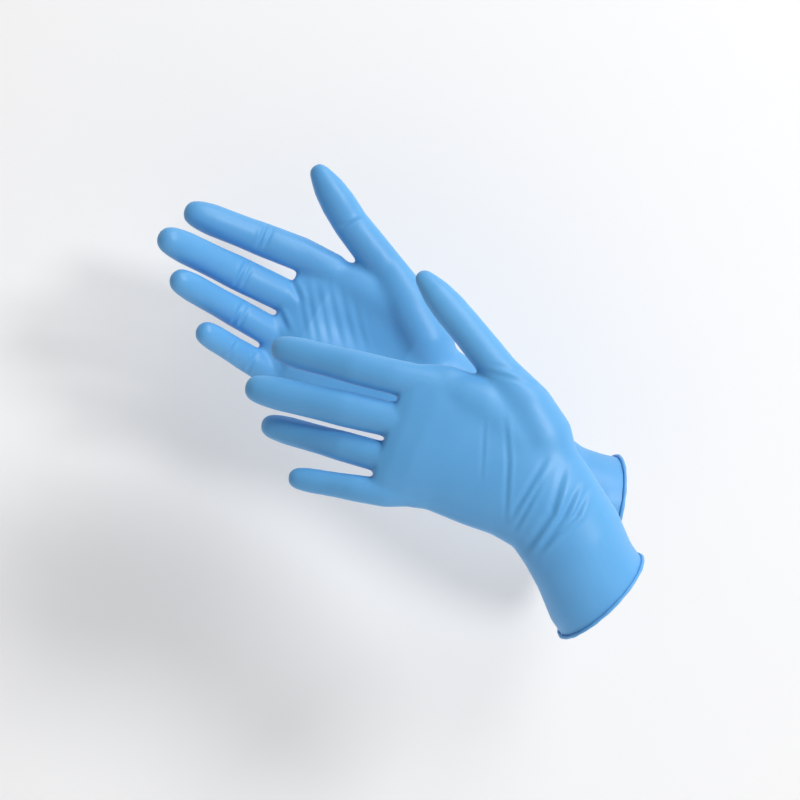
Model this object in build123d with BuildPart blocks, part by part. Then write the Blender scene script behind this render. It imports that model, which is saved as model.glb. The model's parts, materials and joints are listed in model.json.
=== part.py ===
"""A pair of disposable film gloves in the shape they take on a hand, thumbs up and palms facing.

Millimetres. X to the right, Y away from the viewer, Z up. The origin is the centre of the right
glove's cuff opening. Each glove is one dipped film, cut into nodes only where it flexes.
"""
import os
from math import cos, radians, sin

from build123d import *

os.makedirs("parts", exist_ok=True)

# driving dimensions: the film and its rolled rim
FILM = 0.12
BEAD_RADIUS = 0.9
RIM_RADIUS = 30.5
RIM_LENGTH = 12

# the wrist, where the film narrows: half width, half thickness, half length of its ring
WRIST = (30.5, 20.5)
WRIST_HALF = 9

# joints: slack opened at rest on the back of a stall, and the gap on its palm side
SLACK = 6
GAP = 0.3

# stalls: radius at the base, at the two finger joints and at the tip, then the three lengths
STALLS = {
    "index": (10.2, 9.6, 9.0, 7.6, 23.0, 22.0, 25.0),
    "middle": (10.3, 10.0, 9.3, 7.9, 28.0, 26.5, 29.0),
    "ring": (9.2, 8.9, 8.4, 7.0, 25.0, 24.0, 26.0),
    "little": (8.1, 7.7, 7.2, 6.3, 18.0, 17.5, 19.5),
}
THUMB = (11.2, 9.9, 7.4, 32.0, 38.0)

# each glove: palm side along Y, then where its hand lies and how its stalls are held
# stall: base x, z, rise of the stall, bend at the knuckle, the middle and the end joint
# thumb: the same without a middle joint, then how far its tip leans out of line
# section: x, y, z, dip of its normal, tilt away, half width, half thickness
GLOVES = {
    "right": dict(
        palm_side=-1,
        y=-18.0,
        stalls={
            "index": (-173.6, 144.8, 21.0, 6, 9, 6),
            "middle": (-183.2, 121.4, 25.6, 18, 17, 11),
            "ring": (-187.5, 98.9, 29.4, 21, 18, 12),
            "little": (-189.5, 76.7, 31.8, 23, 19, 13),
        },
        thumb=(-126.4, 137.3, 55.0, 6, 6, 10),
        thenar=(-104.0, 92.0, 15.0, 12.2),
        hand=[
            (-199.0, 0, 119.0, 26, 0, 40.0, 11.5),
            (-172.0, 0, 103.0, 28, 0, 41.5, 13.8),
            (-140.0, 0, 86.0, 30, 0, 38.5, 16.0),
        ],
        wrist=(-92.6, 59.7, 33.0),
        cuff=[
            (-54.0, -12.0, 29.0, 31, 8, 29.5, 25.0),
            (-24.6, -4.0, 7.3, 20, 12, 30.0, 29.0),
        ],
        rim=(0.0, 0.0, 0.0, 12.0, 15.0),
    ),
    "left": dict(
        palm_side=1,
        y=-168.0,
        stalls={
            "index": (-120.0, 74.8, 13.9, 8, 9, 6),
            "middle": (-120.8, 51.3, 12.9, 6, 7, 5),
            "ring": (-123.8, 30.0, 15.6, 15, 11, 7),
            "little": (-124.4, 11.3, 9.4, 8, 8, 5),
        },
        thumb=(-62.5, 78.1, 54.0, 6, 6, 0),
        thenar=(-42.0, 42.0, 21.0, 12.2),
        hand=[
            (-133.5, 0, 49.0, 20, 0, 41.5, 11.5),
            (-106.0, 0, 43.0, 23, 0, 42.8, 13.8),
            (-72.5, 0, 28.0, 33, 0, 38.5, 16.0),
        ],
        wrist=(-36.3, 5.0, 42.0),
        cuff=[
            (-21.0, -160.5, -19.5, 46, 9, 30.2, 26.0),
        ],
        rim=(-7.5, -149.0, -45.5, 45.0, 15.0),
    ),
}


def section_plane(x, y, z, dip, tilt):
    """A section across the hand or forearm: its normal points towards the cuff, its x along the width."""
    normal = (cos(radians(dip)) * cos(radians(tilt)), sin(radians(tilt)), -sin(radians(dip)) * cos(radians(tilt)))
    return Plane(origin=(x, y, z), x_dir=(sin(radians(dip)), 0, cos(radians(dip))), z_dir=normal)


def stall_plane(glove, x, z, rise, radius, toward=None):
    """Where a stall starts: origin on its palm-side edge, z along the stall, y to its back."""
    along = Vector(-cos(radians(rise)), 0, sin(radians(rise)))
    palmward = toward or Vector(0, glove["palm_side"], 0)
    centre = Vector(x, glove["y"], z)
    return Plane(origin=centre + palmward * radius, x_dir=along.cross(palmward), z_dir=along)


def bent(place, forward, angle, lean=0):
    """The next plane along a stall: forward by (y, z), leaned sideways, then bent towards the palm."""
    side = place.x_dir * cos(radians(lean)) - place.z_dir * sin(radians(lean))
    level = place.z_dir * cos(radians(lean)) + place.x_dir * sin(radians(lean))
    ahead = level * cos(radians(angle)) - place.y_dir * sin(radians(angle))
    return Plane(origin=place.from_local_coords((0, *forward)), x_dir=side, z_dir=ahead)


def segment(start, r0, r1, length, mitre, lean=0):
    """An open length of stall, a thin cone whose far end is cut across at the mitre angle."""
    reach = 2 * r1 * (sin(radians(max(mitre, 0))) + sin(radians(abs(lean)))) + 0.5
    slope = (r0 - r1) / length
    end = bent(start, (r0 - r1, length), mitre, lean)
    with BuildPart(start) as film:
        with Locations((0, r0, GAP)):
            Cone(r0 - slope * GAP, r1 - slope * reach, length + reach - GAP, align=(Align.CENTER, Align.CENTER, Align.MIN))
            Cone(
                r0 - slope * GAP - FILM,
                r1 - slope * reach - FILM,
                length + reach - GAP,
                align=(Align.CENTER, Align.CENTER, Align.MIN),
                mode=Mode.SUBTRACT,
            )
        split(bisect_by=end, keep=Keep.BOTTOM)
    return film.part


def tip(start, r0, r1, length):
    """The closed end of a stall: a thin cone that ends in a dome."""
    with BuildPart(start) as film:
        for skin, mode in ((0, Mode.ADD), (FILM, Mode.SUBTRACT)):
            with Locations((0, r0, GAP)):
                Cone(r0 - skin, r1 - skin, length - r1 - GAP, align=(Align.CENTER, Align.CENTER, Align.MIN), mode=mode)
            with Locations((0, r0, length - r1)):
                Sphere(r1 - skin, mode=mode)
    return film.part


def hand_form(glove, skin, doors):
    """The hand's form from the stalls' roots to the wrist, smaller all round by skin."""
    wrist = wrist_plane(glove).offset(-WRIST_HALF)
    x, z, thenar_root, thenar_end = glove["thenar"]
    thumb_x, thumb_z = glove["thumb"][:2]
    root = Vector(x, glove["y"], z)
    towards = Vector(thumb_x, glove["y"], thumb_z) - root
    with BuildPart() as form:
        for x, _, z, dip, tilt, half_width, half_thick in glove["hand"]:
            with BuildSketch(section_plane(x, glove["y"], z, dip, tilt)):
                Ellipse(half_width - skin, half_thick - skin)
        with BuildSketch(wrist):
            Ellipse(WRIST[0] - skin, WRIST[1] - skin)
        loft()
        with Locations(Plane(origin=root, x_dir=(0, 1, 0), z_dir=towards).location):
            Cone(
                thenar_root - skin,
                thenar_end - skin,
                towards.length + 6,
                align=(Align.CENTER, Align.CENTER, Align.MIN),
            )
            Sphere(thenar_root - skin)
        for door, width in doors:
            with Locations(door.offset(-skin).location):
                Box(width, 70, 50, align=(Align.CENTER, Align.CENTER, Align.MIN), mode=Mode.SUBTRACT)
        split(bisect_by=wrist, keep=Keep.BOTTOM)
    return form.part


def wrist_plane(glove):
    x, z, dip = glove["wrist"]
    return section_plane(x, glove["y"], z, dip, 0)


def cuff_form(glove, skin):
    """The forearm's form from the wrist to the round rim, smaller all round by skin."""
    rim = section_plane(*glove["rim"])
    with BuildPart() as form:
        with BuildSketch(wrist_plane(glove).offset(WRIST_HALF)):
            Ellipse(WRIST[0] - skin, WRIST[1] - skin)
        for *place, half_width, half_thick in glove["cuff"]:
            with BuildSketch(section_plane(*place)):
                Ellipse(half_width - skin, half_thick - skin)
        with BuildSketch(rim.offset(-RIM_LENGTH)):
            Circle(RIM_RADIUS - skin)
        loft()
        with BuildSketch(rim.offset(-RIM_LENGTH)):
            Circle(RIM_RADIUS - skin)
        extrude(amount=RIM_LENGTH)
    return form.part


joints = []
for side, glove in GLOVES.items():
    doors, holes = [], []

    # fingers: the base, middle and tip of each stall
    for finger, (x, z, rise, knuckle, middle, end) in glove["stalls"].items():
        r0, r1, r2, r3, base_length, middle_length, tip_length = STALLS[finger]
        root = stall_plane(glove, x, z, rise, r0)
        doors.append((bent(root, (0, 0), knuckle - SLACK), 2 * r0 + 4.6))
        start = bent(root, (0, 0), knuckle)
        holes.append((doors[-1][0], r0))
        joints.append((f"{side}_{finger}_knuckle", start))
        base = segment(start, r0, r1, base_length, middle - SLACK)
        start = bent(start, (r0 - r1, base_length), middle)
        joints.append((f"{side}_{finger}_middle_joint", start))
        mid = segment(start, r1, r2, middle_length, end - SLACK)
        start = bent(start, (r1 - r2, middle_length), end)
        joints.append((f"{side}_{finger}_end_joint", start))
        for part, name in ((base, "base"), (mid, "middle"), (tip(start, r2, r3, tip_length), "tip")):
            part.label = f"{side}_{finger}_{name}"
            export_step(part, f"parts/{part.label}.step")

    # thumb: its pad faces part way between the fingers and the palm side
    x, z, rise, knuckle, end, lean = glove["thumb"]
    r0, r1, r2, base_length, tip_length = THUMB
    across = Vector(-sin(radians(rise)), 0, -cos(radians(rise)))
    pad = across * cos(radians(60)) + Vector(0, glove["palm_side"], 0) * sin(radians(60))
    root = stall_plane(glove, x, z, rise, r0, pad)
    doors.append((bent(root, (0, 0), knuckle - SLACK), 2 * r0 + 5))
    holes.append((doors[-1][0], r0))
    start = bent(root, (0, 0), knuckle)
    joints.append((f"{side}_thumb_knuckle", start))
    base = segment(start, r0, r1, base_length, end - SLACK, lean)
    start = bent(start, (r0 - r1, base_length), end, lean)
    joints.append((f"{side}_thumb_end_joint", start))
    for part, name in ((base, "base"), (tip(start, r1, r2, tip_length), "tip")):
        part.label = f"{side}_thumb_{name}"
        export_step(part, f"parts/{part.label}.step")

    # palm: one film from the stalls' roots to the wrist, open into each stall
    with BuildPart() as palm:
        add(hand_form(glove, 0, doors))
        add(hand_form(glove, FILM, doors), mode=Mode.SUBTRACT)
        for door, radius in holes:
            with Locations(door.location * Location((0, radius, 0))):
                Cylinder(radius - FILM, 4, mode=Mode.SUBTRACT)
    palm.part.label = f"{side}_palm"
    export_step(palm.part, f"parts/{side}_palm.step")

    # wrist: the narrow ring that wrinkles as the wrist bends
    with BuildPart() as wrist:
        with BuildSketch(wrist_plane(glove).offset(-WRIST_HALF)):
            Ellipse(*WRIST)
            Ellipse(WRIST[0] - FILM, WRIST[1] - FILM, mode=Mode.SUBTRACT)
        extrude(amount=2 * WRIST_HALF)
    wrist.part.label = f"{side}_wrist"
    export_step(wrist.part, f"parts/{side}_wrist.step")
    joints.append((f"{side}_wrist", wrist_plane(glove)))

    # cuff: opens out from the wrist and ends round
    with BuildPart() as cuff:
        add(cuff_form(glove, 0))
        add(cuff_form(glove, FILM), mode=Mode.SUBTRACT)
    cuff.part.label = f"{side}_cuff"
    export_step(cuff.part, f"parts/{side}_cuff.step")

    # cuff bead: the film rolled outwards on itself round the rim
    rim = section_plane(*glove["rim"])
    with BuildPart(rim) as bead:
        with Locations((0, 0, -BEAD_RADIUS)):
            Torus(RIM_RADIUS + BEAD_RADIUS - 0.1, BEAD_RADIUS)
        Cylinder(RIM_RADIUS, 6, mode=Mode.SUBTRACT)
    bead.part.label = f"{side}_cuff_bead"
    export_step(bead.part, f"parts/{side}_cuff_bead.step")

for name, place in joints:
    o, k = place.origin, place.x_dir
    print(name, [round(v, 3) for v in o], [round(v, 5) for v in k])
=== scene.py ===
"""The looks of a pair of disposable nitrile gloves in worn shape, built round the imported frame."""
import json
import math

import bmesh
import bpy
import numpy as np
from mathutils import Matrix, Vector

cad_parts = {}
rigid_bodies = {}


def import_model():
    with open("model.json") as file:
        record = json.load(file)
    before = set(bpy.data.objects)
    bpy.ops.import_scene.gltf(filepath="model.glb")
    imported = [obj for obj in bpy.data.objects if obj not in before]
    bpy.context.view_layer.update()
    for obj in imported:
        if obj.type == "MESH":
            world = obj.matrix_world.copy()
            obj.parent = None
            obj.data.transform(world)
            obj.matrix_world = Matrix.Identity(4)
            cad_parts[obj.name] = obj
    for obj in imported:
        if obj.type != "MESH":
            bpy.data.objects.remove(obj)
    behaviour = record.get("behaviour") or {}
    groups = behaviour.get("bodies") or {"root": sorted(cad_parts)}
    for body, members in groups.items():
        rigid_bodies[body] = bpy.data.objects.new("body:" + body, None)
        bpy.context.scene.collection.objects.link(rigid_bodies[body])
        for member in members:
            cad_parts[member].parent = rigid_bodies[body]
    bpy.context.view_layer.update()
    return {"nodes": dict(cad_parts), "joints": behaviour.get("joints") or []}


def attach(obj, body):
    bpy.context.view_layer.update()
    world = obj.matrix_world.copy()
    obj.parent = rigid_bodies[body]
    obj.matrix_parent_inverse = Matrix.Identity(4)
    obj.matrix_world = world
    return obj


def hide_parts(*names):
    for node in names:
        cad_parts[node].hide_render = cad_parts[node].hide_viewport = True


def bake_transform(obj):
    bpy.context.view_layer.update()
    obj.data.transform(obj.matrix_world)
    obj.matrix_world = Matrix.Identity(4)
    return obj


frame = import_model()
scene = bpy.context.scene

# Camera: level, square to the palms and far off, so the two gloves keep their sizes.
# The nearer glove is the left one, with its back to the camera.
camera = bpy.data.objects.new("camera", bpy.data.cameras.new("camera"))
scene.collection.objects.link(camera)
camera.location = (-0.1183, -4.09, 0.0625)
camera.rotation_euler = (math.radians(90), 0, 0)
camera.data.lens = 323
camera.data.clip_end = 20
scene.camera = camera

# Nitrile: a satin film, slightly soft to light, a little paler where it is thinner, with a
# fine leathery grain. Both gloves are made of it, and nothing else shows.
nitrile = bpy.data.materials.new("nitrile_film")
nitrile.use_nodes = True
nodes, links = nitrile.node_tree.nodes, nitrile.node_tree.links
film = nodes["Principled BSDF"]
film.inputs["Roughness"].default_value = 0.44
film.inputs["Specular IOR Level"].default_value = 0.42
film.inputs["Subsurface Weight"].default_value = 0.12
film.inputs["Subsurface Radius"].default_value = (0.3, 0.7, 1.0)
film.inputs["Subsurface Scale"].default_value = 0.002
coordinates = nodes.new("ShaderNodeTexCoord")
mottle = nodes.new("ShaderNodeTexNoise")
mottle.inputs["Scale"].default_value = 38
mottle.inputs["Detail"].default_value = 3
tint = nodes.new("ShaderNodeMix")
tint.data_type = "RGBA"
tint.inputs["A"].default_value = (0.098, 0.350, 0.700, 1)
tint.inputs["B"].default_value = (0.125, 0.405, 0.775, 1)
grain = nodes.new("ShaderNodeTexNoise")
grain.inputs["Scale"].default_value = 900
grain.inputs["Detail"].default_value = 2
bump = nodes.new("ShaderNodeBump")
bump.inputs["Strength"].default_value = 0.08
bump.inputs["Distance"].default_value = 0.0004
links.new(coordinates.outputs["Object"], mottle.inputs["Vector"])
links.new(coordinates.outputs["Object"], grain.inputs["Vector"])
links.new(mottle.outputs["Fac"], tint.inputs["Factor"])
links.new(tint.outputs["Result"], film.inputs["Base Color"])
links.new(grain.outputs["Fac"], bump.inputs["Height"])
links.new(bump.outputs["Normal"], film.inputs["Normal"])

# Right glove, the farther one: a nitrile film dipped on a former and stripped off, its rim
# rolled into a bead. Its palm is to the camera and its stalls curl towards it. It is drawn
# as one smooth skin and then cut where its joints bend, as the left glove is further down.
joints = {j["name"]: j for j in frame["joints"]}


def tube(bm, rings):
    """A closed tube through rings: centre, ways along and across, half width, half thickness."""
    loops = []
    for i, (centre, along, across, wide, thick) in enumerate(rings):
        back = along.cross(across).normalized()
        across = back.cross(along).normalized()
        place = Matrix.Translation(centre) @ Matrix(
            (across * wide, back * thick, along.normalized())
        ).transposed().to_4x4()
        ring = bmesh.ops.create_circle(
            bm, cap_ends=i in (0, len(rings) - 1), segments=40, radius=1, matrix=place
        )["verts"]
        loops.append({e for v in ring for e in v.link_edges})
    for a, b in zip(loops, loops[1:]):
        bmesh.ops.bridge_loops(bm, edges=list(a | b))


def section(x, y, z, dip, tilt):
    """A section across the hand: its centre, the way to the cuff and the way of its width."""
    dip, tilt = math.radians(dip), math.radians(tilt)
    level = math.cos(tilt)
    along = Vector((math.cos(dip) * level, math.sin(tilt), -math.sin(dip) * level))
    return Vector((x, y, z)), along, Vector((math.sin(dip), 0, math.cos(dip)))


def smoothed(mesh, name, modifiers):
    """A copy of a mesh with modifiers applied; the function given sets them up on its object."""
    held = bpy.data.objects.new(name, mesh)
    scene.collection.objects.link(held)
    modifiers(held)
    depsgraph = bpy.context.evaluated_depsgraph_get()
    result = bpy.data.meshes.new_from_object(held.evaluated_get(depsgraph))
    bpy.data.objects.remove(held)
    return result


def stall_rings(side, name, sizes, root):
    """A stall's rings and hinge way, its centre line, and its bodies from the palm out."""
    hinge_names = ("knuckle", "middle_joint", "end_joint")
    if name == "thumb":
        hinge_names = ("knuckle", "end_joint")
    chain = [joints[f"{side}_{name}_{k}"] for k in hinge_names]
    across = Vector(chain[0]["axis"])
    hinges = [Vector(j["pos_m"]) for j in chain]
    last = frame["nodes"][f"{side}_{name}_tip"].data.vertices
    end = max((v.co for v in last), key=lambda p: (p - hinges[0]).length).copy()
    bodies = [chain[0]["parent"]] + [j["child"] for j in chain]

    # each centre stands half a thickness behind its hinge
    behind = 0.96
    points = hinges + [end]
    ways = [(b - a).normalized() for a, b in zip(points, points[1:])]
    centres = []
    for i, hinge in enumerate(hinges):
        way = ways[i] if i == 0 else (ways[i] + ways[i - 1]).normalized()
        centres.append(hinge + way.cross(across).normalized() * sizes[i] * behind)
    ways = [(b - a).normalized() for a, b in zip(centres, centres[1:] + [end])]

    # a joint is a little fuller than the lengths beside it, and the knuckle a little slimmer
    knuckle_full, joint_full, joint_flat, length_flat = 0.98, 1.02, 0.92, 0.94
    rings = [(Vector(p), (centres[0] - Vector(p)).normalized(), w, t) for p, w, t in root]
    for i, centre in enumerate(centres):
        way = ways[i] if i == 0 else (ways[i] + ways[i - 1]).normalized()
        wide = sizes[i] * (joint_full if i else knuckle_full)
        rings.append((centre, way, wide, wide * joint_flat))
        if i + 1 < len(centres):
            wide = (sizes[i] + sizes[i + 1]) / 2
            rings.append((centre.lerp(centres[i + 1], 0.5), ways[i], wide, wide * length_flat))

    # the last length narrows by shares of its way, and its end is rounded off
    base, narrow = sizes[-2], sizes[-1]
    for share, narrowed in ((0.35, 0.10), (0.62, 0.45), (0.80, 1.0)):
        wide = base + (narrow - base) * narrowed
        at = centres[-1].lerp(end, share)
        rings.append((at, ways[-1], wide * 1.04, wide * length_flat))
    for share, rounded in ((0.90, 0.86), (0.96, 0.62), (0.99, 0.34)):
        at = centres[-1].lerp(end, share)
        rings.append((at, ways[-1], narrow * rounded, narrow * rounded * 0.85))
    return [(c, a, across, w, t) for c, a, w, t in rings], centres + [end], bodies


def folded(at, out, folds):
    """Points moved along their normals into folds, each a soft valley, some with a ridge beside.

    A fold is: the side it faces, its width and depth in mm, its ridge as a share of the depth,
    and its line as (x, z) points in mm."""
    count = len(at)
    depth = np.zeros(count)
    flat = at[:, [0, 2]]
    for facing, width, fall, rise, line in folds:
        seen = np.clip(out[:, 1] * facing * 2.5 + 0.1, 0, 1)
        nearest, beside, along = np.full(count, 9.0), np.zeros(count), np.zeros(count)
        length = sum(math.dist(a, b) for a, b in zip(line, line[1:]))
        run = 0
        for a, b in zip(line, line[1:]):
            a, b = np.array(a) / 1000, np.array(b) / 1000
            way = (b - a) / np.linalg.norm(b - a)
            t = np.clip((flat - a) @ way, 0, np.linalg.norm(b - a))
            gap = flat - a - t[:, None] * way
            far = np.linalg.norm(gap, axis=1)
            closer = far < nearest
            nearest[closer] = far[closer]
            beside[closer] = (gap @ np.array((-way[1], way[0])))[closer]
            along[closer] = (run + t * 1000)[closer] / length
            run += np.linalg.norm(b - a) * 1000
        # a fold fades towards both its ends
        ends = np.sin(np.pi * np.clip(along * 0.92 + 0.04, 0, 1)) ** 0.7
        off, over = nearest * 1000 / width, beside * 1000 / width
        ridge = (over - 1.7) ** 2 + np.maximum(off - np.abs(over), 0) ** 2
        depth += seen * ends * fall * (rise * np.exp(-ridge) - np.exp(-(off**2)))
    return at + out * (depth / 1000)[:, None]


def glove_skin(side, stalls, web, stretched, body, rim, folds):
    """One glove's whole film as a single smooth mesh, still solid, with its folds."""
    bm = bmesh.new()
    tube(bm, [(*section(*place), wide, thick) for *place, wide, thick in body])
    web_along, web_across = Vector((1, 0, -0.2)), Vector((0.2, 0, 1))
    tube(bm, [(Vector(p), web_along, web_across, w, t) for p, w, t in web])
    chains = {}
    for name, (sizes, root) in stalls.items():
        rings, line, bodies = stall_rings(side, name, sizes, root)
        tube(bm, rings)
        chains[name] = (line, bodies)
    bmesh.ops.recalc_face_normals(bm, faces=bm.faces)
    mesh = bpy.data.meshes.new(f"{side}_skin")
    bm.to_mesh(mesh)
    bm.free()

    def joined(skin):
        remesh = skin.modifiers.new("remesh", "REMESH")
        remesh.mode = "VOXEL"
        remesh.voxel_size = 0.0009
        smooth = skin.modifiers.new("smooth", "SMOOTH")
        smooth.factor = 0.5
        smooth.iterations = 30

    def flattened(skin):
        # where the thumb's root runs into the hand, the film is stretched across the hollows
        group = skin.vertex_groups.new(name="stretched")
        for v in skin.data.vertices:
            spots = [math.dist((v.co.x, v.co.z), (x, z)) / radius for x, z, radius in stretched]
            pull = max(math.exp(-(spot**2)) for spot in spots)
            if pull > 0.05:
                group.add([v.index], pull, "REPLACE")
        flat = skin.modifiers.new("flat", "SMOOTH")
        flat.factor = 0.5
        flat.iterations = 160
        flat.vertex_group = "stretched"

    whole = smoothed(mesh, f"{side}_skin", joined)
    whole = smoothed(whole, f"{side}_soft", flattened)

    count = len(whole.vertices)
    at, out = np.empty(count * 3, np.float32), np.empty(count * 3, np.float32)
    whole.vertices.foreach_get("co", at)
    whole.vertices.foreach_get("normal", out)
    at = folded(at.reshape(-1, 3), out.reshape(-1, 3), folds)
    whole.vertices.foreach_set("co", at.astype(np.float32).ravel())
    whole.update()

    # the cuff is cut off square at its rim
    bm = bmesh.new()
    bm.from_mesh(whole)
    centre, along, _ = section(*rim)
    everything = bm.verts[:] + bm.edges[:] + bm.faces[:]
    bmesh.ops.bisect_plane(
        bm, geom=everything, plane_co=centre, plane_no=along, clear_outer=True
    )
    normals = bm.verts.layers.float_vector.new("film_normal")
    bm.normal_update()
    for v in bm.verts:
        v[normals] = v.normal
    bm.to_mesh(whole)
    bm.free()
    return whole, chains


def add_piece(side, label, name, mesh):
    """Puts a finished mesh in the scene as the looks of one node of the frame."""
    mesh.materials.append(nitrile)
    piece = bpy.data.objects.new(f"{side}_{name}", mesh)
    scene.collection.objects.link(piece)
    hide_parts(f"{side}_{label}")
    return piece


def cut(side, whole, chains, wrist):
    """Cuts the skin into its pieces at the joints, each with its own wall; the palm and cuff pieces
    ride their bodies, and the others stay where they were drawn.
    """
    wall = 0.0003
    faces = len(whole.polygons)
    at = np.empty(faces * 3, np.float32)
    whole.polygons.foreach_get("center", at)
    at = at.reshape(-1, 3).astype(float)

    # the wrist's ring lies between the cuff and the palm, and the two ends of its bend are noted
    # with it
    centre, along, _ = section(*wrist)
    past = (at - np.array(centre)) @ np.array(along)
    palm, cuff, ring = 0, 1, 2
    owner = np.where(past > 0.024, cuff, np.where(past > -0.026, ring, palm))
    palm_body, cuff_body = f"{side}_palm_body", f"{side}_cuff_body"
    rides = {palm: ("palm", palm_body), cuff: ("cuff", cuff_body)}
    bend = (centre + along * 0.019, centre - along * 0.021)
    blends = {ring: ("wrist", cuff_body, palm_body, *bend)}

    # a stall's faces are those nearest to its own centre line
    distance = {}
    for name, (points, bodies) in chains.items():
        near = np.full(faces, 9.0)
        for a, b in zip(points, points[1:]):
            a, b = np.array(a), np.array(b)
            t = np.clip((at - a) @ (b - a) / ((b - a) @ (b - a)), 0, 1)
            near = np.minimum(near, np.linalg.norm(at - a - t[:, None] * (b - a), axis=1))
        distance[name] = near
    closest = np.min(list(distance.values()), axis=0)
    reach = 0.019
    for name, (points, bodies) in chains.items():
        start = 0.009 if name == "thumb" else 0.0045
        way = (points[1] - points[0]).normalized()
        ahead = (at - np.array(points[0])) @ np.array(way)
        mine = (distance[name] <= closest) & (distance[name] < reach) & (ahead > start)
        labels = ("base", "tip") if name == "thumb" else ("base", "middle", "tip")
        for i, label in enumerate(labels):
            key = len(rides) + len(blends)
            if i:
                # each cut lies where one bend has ended and the next hasn't begun
                way = (points[i + 1] - points[i]).normalized()
                last = (points[i] - points[i - 1]).normalized()
                edge = np.array(points[i] - last * 0.0065)
                here = mine & ((at - edge) @ np.array(last) > 0)
                first, second = points[i] - last * 0.005, points[i] + way * 0.0075
            else:
                here, first = mine, points[0] + way * (start + 0.0012)
                length = (points[1] - points[0]).length
                second = points[0] + way * min(start + 0.013, length - 0.0073)
            owner[here] = key
            blends[key] = (f"{name}_{label}", bodies[i], bodies[i + 1], first, second)

    for key in list(rides) + list(blends):
        label = (rides.get(key) or blends.get(key))[0]
        bm = bmesh.new()
        bm.from_mesh(whole)
        bm.faces.ensure_lookup_table()
        others = [f for f, o in zip(bm.faces, owner) if o != key]
        bmesh.ops.delete(bm, geom=others, context="FACES")
        bmesh.ops.solidify(bm, geom=bm.faces[:], thickness=wall)
        bm.normal_update()
        # both sides of the wall keep the uncut film's normals, so that no cut shows
        kept = bm.verts.layers.float_vector["film_normal"]
        facing = [
            v[kept].normalized() * (1 if v.normal.dot(v[kept]) > 0 else -1) for v in bm.verts
        ]
        mesh = bpy.data.meshes.new(f"{side}_{label}_film")
        bm.to_mesh(mesh)
        bm.free()
        mesh.shade_smooth()
        mesh.normals_split_custom_set_from_vertices(facing)
        piece = add_piece(side, label, f"{label}_film", mesh)
        if key in rides:
            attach(piece, rides[key][1])
        else:
            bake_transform(piece)


def add_bead(side, rim):
    """The bead: the film rolled outwards on itself, a little uneven round the rim."""
    centre, along, across = section(*rim)
    back = along.cross(across)
    rim_radius, bead_radius, inside_rim = 0.0312, 0.00095, 0.0009
    bm = bmesh.new()
    turned = Matrix((across, along, -back)).transposed().to_4x4()
    place = Matrix.Translation(centre + across * rim_radius - along * inside_rim) @ turned
    bmesh.ops.create_circle(bm, segments=14, radius=bead_radius, matrix=place)
    bmesh.ops.spin(
        bm, geom=bm.verts[:] + bm.edges[:], cent=centre, axis=along,
        angle=math.tau, steps=180, use_merge=True,
    )
    for v in bm.verts:
        turn = math.atan2((v.co - centre).dot(back), (v.co - centre).dot(across))
        outwards = across * math.cos(turn) + back * math.sin(turn)
        middle = centre + outwards * rim_radius - along * inside_rim
        uneven = 0.14 * math.sin(turn * 9) * math.cos(turn * 4) + 0.08 * math.sin(turn * 23)
        v.co = middle + (v.co - middle) * (1 + uneven)
    bmesh.ops.recalc_face_normals(bm, faces=bm.faces)
    mesh = bpy.data.meshes.new(f"{side}_bead")
    bm.to_mesh(mesh)
    bm.free()
    mesh.shade_smooth()
    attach(add_piece(side, "cuff_bead", "bead", mesh), f"{side}_cuff_body")


# stalls: half widths at the knuckle, the joints and the tip, then the rings inside the palm
right_stalls = {
    "index": (
        (0.0102, 0.0096, 0.0090, 0.0070),
        [
            ((-0.1440, -0.018, 0.1290), 0.0060, 0.0060),
            ((-0.1560, -0.018, 0.1350), 0.0105, 0.0090),
        ],
    ),
    "middle": ((0.0100, 0.0097, 0.0091, 0.0074), [((-0.1640, -0.018, 0.1120), 0.0095, 0.0085)]),
    "ring": ((0.0090, 0.0085, 0.0081, 0.0067), [((-0.1680, -0.018, 0.0880), 0.0090, 0.0085)]),
    "little": ((0.0084, 0.0079, 0.0074, 0.0062), [((-0.1700, -0.018, 0.0650), 0.0085, 0.0085)]),
    "thumb": (
        (0.0114, 0.0102, 0.0066),
        [
            ((-0.0930, -0.018, 0.0640), 0.0060, 0.0070),
            ((-0.0960, -0.020, 0.0760), 0.0120, 0.0130),
            ((-0.1020, -0.023, 0.0930), 0.0160, 0.0165),
            ((-0.1130, -0.022, 0.1150), 0.0148, 0.0150),
        ],
    ),
}
# the web between the thumb's root and the index stall: centres, half widths, half thicknesses
right_web = [
    ((-0.1640, -0.018, 0.1350), 0.0070, 0.0060),
    ((-0.1560, -0.018, 0.1310), 0.0115, 0.0085),
    ((-0.1470, -0.018, 0.1260), 0.0145, 0.0105),
    ((-0.1380, -0.018, 0.1210), 0.0165, 0.0120),
    ((-0.1260, -0.018, 0.1130), 0.0165, 0.0130),
    ((-0.1150, -0.018, 0.1020), 0.0150, 0.0140),
]
# round spots where the film is pulled flat: x, z and radius
right_stretched = [(-0.133, 0.110, 0.022), (-0.112, 0.085, 0.024)]
# sections of hand and cuff: centre, dip and tilt in degrees, half width, half thickness
right_body = [
    (-0.1880, -0.018, 0.1120, 27, 0, 0.0310, 0.0070),
    (-0.1800, -0.018, 0.1070, 27, 0, 0.0375, 0.0100),
    (-0.1700, -0.018, 0.1015, 28, 0, 0.0405, 0.0128),
    (-0.1400, -0.018, 0.0850, 30, 0, 0.0375, 0.0155),
    (-0.1150, -0.018, 0.0715, 31, 0, 0.0330, 0.0180),
    (-0.0926, -0.018, 0.0597, 33, 0, 0.0298, 0.0203),
    (-0.0720, -0.016, 0.0440, 33, 3, 0.0295, 0.0225),
    (-0.0480, -0.011, 0.0245, 29, 8, 0.0296, 0.0258),
    (-0.0246, -0.004, 0.0073, 20, 12, 0.0302, 0.0290),
    (-0.0090, -0.0023, 0.0019, 12, 15, 0.0305, 0.0305),
    (0.0080, 0.0021, -0.0017, 12, 15, 0.0305, 0.0305),
]
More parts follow.
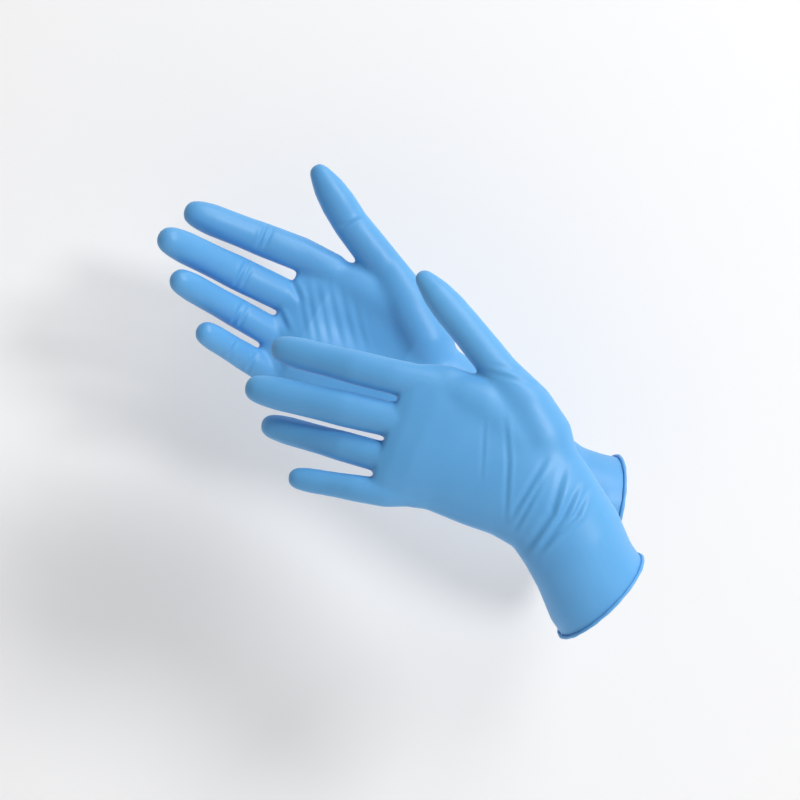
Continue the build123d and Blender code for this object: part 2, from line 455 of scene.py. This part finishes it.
right_rim = (0, 0, 0, 12, 15)
right_folds = [
    # the hollow of the palm, then its long faint streaks
    (-1, 15, 6.0, 0, [(-166, 112), (-140, 96), (-118, 82)]),
    (-1, 1.5, 0.28, 0.7, [(-177.0, 127.0), (-171.0, 96.0)]),
    (-1, 1.5, 0.32, 0.7, [(-171.5, 128.0), (-165.0, 94.0)]),
    (-1, 1.5, 0.30, 0.7, [(-165.5, 129.0), (-158.5, 94.0)]),
    (-1, 1.6, 0.32, 0.7, [(-159.0, 128.0), (-151.0, 92.0)]),
    (-1, 1.6, 0.26, 0.7, [(-152.0, 125.0), (-144.0, 92.0)]),
    (-1, 1.6, 0.22, 0.7, [(-145.0, 120.0), (-137.5, 92.0)]),
    # creases where the stalls leave the palm
    (-1, 1.8, 0.90, 0.6, [(-181.4, 132.2), (-174.1, 118.3)]),
    (-1, 1.8, 0.90, 0.6, [(-188.0, 114.5), (-182.0, 101.6)]),
    (-1, 1.8, 0.80, 0.6, [(-190.0, 92.5), (-184.5, 80.5)]),
    # pairs of creases across the middle joints, and one at the little stall's end joint
    (-1, 1.2, 0.80, 0.5, [(-199.0, 149.0), (-193.6, 161.8)]),
    (-1, 1.2, 0.70, 0.5, [(-195.6, 147.6), (-190.0, 160.6)]),
    (-1, 1.3, 1.00, 0.5, [(-211.6, 126.6), (-204.0, 142.6)]),
    (-1, 1.2, 0.80, 0.5, [(-208.0, 125.0), (-200.6, 140.6)]),
    (-1, 1.3, 1.00, 0.5, [(-213.6, 103.4), (-206.0, 118.6)]),
    (-1, 1.2, 0.80, 0.5, [(-210.2, 101.8), (-202.8, 116.6)]),
    (-1, 1.2, 0.80, 0.5, [(-205.3, 77.6), (-198.1, 91.0)]),
    (-1, 1.2, 0.70, 0.5, [(-215.4, 85.4), (-208.7, 97.7)]),
    (-1, 1.3, 0.80, 0.5, [(-151.8, 159.6), (-139.5, 165.2)]),
]
right_wrist = (-0.0926, -0.018, 0.0597, 33, 0)
skin, chains = glove_skin(
    "right", right_stalls, right_web, right_stretched, right_body, right_rim, right_folds
)
cut("right", skin, chains, right_wrist)
add_bead("right", right_rim)

# Left glove, the nearer one: the same film and the same making. Its back is to the camera,
# its stalls are nearly straight, and its film folds where the thumb runs down to the wrist.
left_stalls = {
    "index": ((0.0100, 0.0094, 0.0088, 0.0070), [((-0.0980, -0.168, 0.0700), 0.0100, 0.0085)]),
    "middle": ((0.0101, 0.0098, 0.0091, 0.0074), [((-0.1000, -0.168, 0.0470), 0.0100, 0.0085)]),
    "ring": ((0.0089, 0.0084, 0.0078, 0.0064), [((-0.1030, -0.168, 0.0250), 0.0090, 0.0085)]),
    "little": ((0.0080, 0.0074, 0.0068, 0.0056), [((-0.1000, -0.168, 0.0125), 0.0080, 0.0085)]),
    "thumb": (
        (0.0106, 0.0096, 0.0062),
        [
            ((-0.0290, -0.168, 0.0100), 0.0080, 0.0090),
            ((-0.0330, -0.168, 0.0240), 0.0140, 0.0140),
            ((-0.0400, -0.168, 0.0400), 0.0180, 0.0165),
            ((-0.0500, -0.168, 0.0590), 0.0155, 0.0148),
        ],
    ),
}
left_web = [
    ((-0.1030, -0.168, 0.0690), 0.0080, 0.0070),
    ((-0.0940, -0.168, 0.0660), 0.0115, 0.0100),
    ((-0.0830, -0.168, 0.0620), 0.0150, 0.0130),
    ((-0.0720, -0.168, 0.0570), 0.0175, 0.0150),
    ((-0.0600, -0.168, 0.0470), 0.0180, 0.0165),
    ((-0.0500, -0.168, 0.0350), 0.0160, 0.0172),
]
left_stretched = [(-0.064, 0.050, 0.024), (-0.042, 0.024, 0.026)]
left_body = [
    (-0.1250, -0.168, 0.0460, 18, 0, 0.0350, 0.0070),
    (-0.1180, -0.168, 0.0450, 19, 0, 0.0400, 0.0100),
    (-0.1060, -0.168, 0.0432, 22, 0, 0.0415, 0.0128),
    (-0.0860, -0.168, 0.0382, 27, 0, 0.0400, 0.0150),
    (-0.0640, -0.168, 0.0270, 33, 0, 0.0385, 0.0172),
    (-0.0480, -0.168, 0.0160, 38, 0, 0.0340, 0.0190),
    (-0.0363, -0.168, 0.0050, 42, 0, 0.0305, 0.0203),
    (-0.0290, -0.166, -0.0060, 44, 4, 0.0300, 0.0225),
    (-0.0210, -0.1605, -0.0195, 46, 9, 0.0302, 0.0262),
    (-0.0135, -0.1520, -0.0370, 45, 14, 0.0305, 0.0300),
    (-0.0075, -0.1490, -0.0455, 45, 15, 0.0305, 0.0305),
    (-0.0021, -0.1470, -0.0509, 45, 15, 0.0305, 0.0305),
]
left_rim = (-0.0075, -0.149, -0.0455, 45, 15)
left_folds = [
    # fine lines down the back of the hand
    (-1, 1.2, 0.30, 0.6, [(-72.5, 51.3), (-74.2, 19.5)]),
    (-1, 1.5, 0.55, 0.6, [(-61.4, 51.3), (-59.7, 29.6), (-61.4, -3.9)]),
    # long folds that run from the thumb's side down to the wrist
    (-1, 1.8, 0.80, 0.7, [(-39.1, 30.7), (-58.0, -1.1)]),
    (-1, 1.6, 0.60, 0.7, [(-41.9, 17.9), (-56.4, -8.4)]),
    (-1, 2.2, 1.10, 0.7, [(-29.0, 25.1), (-36.3, 0.6), (-50.8, -20.1)]),
    (-1, 2.0, 1.00, 0.7, [(-20.6, 17.9), (-29.0, 0.6), (-41.9, -18.4)]),
    (-1, 1.8, 0.80, 0.7, [(-15.6, 15.1), (-22.3, 0.6), (-39.1, -15.6)]),
    # creases across the web of the thumb
    (-1, 1.4, 0.50, 0.6, [(-74.8, 79.2), (-59.7, 74.8), (-40.2, 69.2)]),
    (-1, 1.4, 0.45, 0.6, [(-68.1, 81.5), (-45.8, 78.1)]),
]
left_wrist = (-0.0363, -0.168, 0.005, 42, 0)
skin, chains = glove_skin(
    "left", left_stalls, left_web, left_stretched, left_body, left_rim, left_folds
)
cut("left", skin, chains, left_wrist)
add_bead("left", left_rim)

# Studio: a pale wall behind and a pale floor well below, lit by a large soft lamp from the
# upper right, so that the pair's shadow falls softly to the lower left.
paper = bpy.data.materials.new("paper")
paper.use_nodes = True
nodes, links = paper.node_tree.nodes, paper.node_tree.links
surface = nodes["Principled BSDF"]
surface.inputs["Base Color"].default_value = (0.66, 0.66, 0.66, 1)
surface.inputs["Emission Color"].default_value = (1, 1, 1, 1)
surface.inputs["Emission Strength"].default_value = 0.27
surface.inputs["Roughness"].default_value = 0.9
# seen from behind, a sheet is clear, so that the pair can be looked at from every side
seen = nodes.new("ShaderNodeMixShader")
clear = nodes.new("ShaderNodeBsdfTransparent")
geometry = nodes.new("ShaderNodeNewGeometry")
links.new(geometry.outputs["Backfacing"], seen.inputs["Fac"])
links.new(surface.outputs["BSDF"], seen.inputs[1])
links.new(clear.outputs["BSDF"], seen.inputs[2])
links.new(seen.outputs["Shader"], nodes["Material Output"].inputs["Surface"])
for name, at, lean in (("wall", (-0.12, 0.06, 0.0), 90), ("floor", (-0.12, -1.0, -1.0), 0)):
    bm = bmesh.new()
    bmesh.ops.create_grid(bm, x_segments=1, y_segments=1, size=3)
    mesh = bpy.data.meshes.new(name)
    bm.to_mesh(mesh)
    bm.free()
    mesh.transform(Matrix.Translation(at) @ Matrix.Rotation(math.radians(lean), 4, "X"))
    mesh.materials.append(paper)
    sheet = bpy.data.objects.new(name, mesh)
    scene.collection.objects.link(sheet)
    sheet.visible_shadow = False
pair = Vector((-0.12, -0.05, 0.06))
lamps = (("key", (1.45, -2.1, 0.95), 0.7, 38), ("top", (0.9, -1.0, 1.9), 1.0, 22))
for name, at, size, power in lamps:
    lamp = bpy.data.objects.new(name, bpy.data.lights.new(name, "AREA"))
    lamp.data.shape = "DISK"
    lamp.data.size = size
    lamp.data.energy = power
    lamp.location = at
    lamp.rotation_euler = (pair - Vector(at)).to_track_quat("-Z", "Y").to_euler()
    scene.collection.objects.link(lamp)
scene.world = bpy.data.worlds.new("studio")
scene.world.use_nodes = True
sky = scene.world.node_tree.nodes["Background"]
sky.inputs["Color"].default_value = (1, 1, 1, 1)
sky.inputs["Strength"].default_value = 0.26
scene.view_settings.view_transform = "Standard"
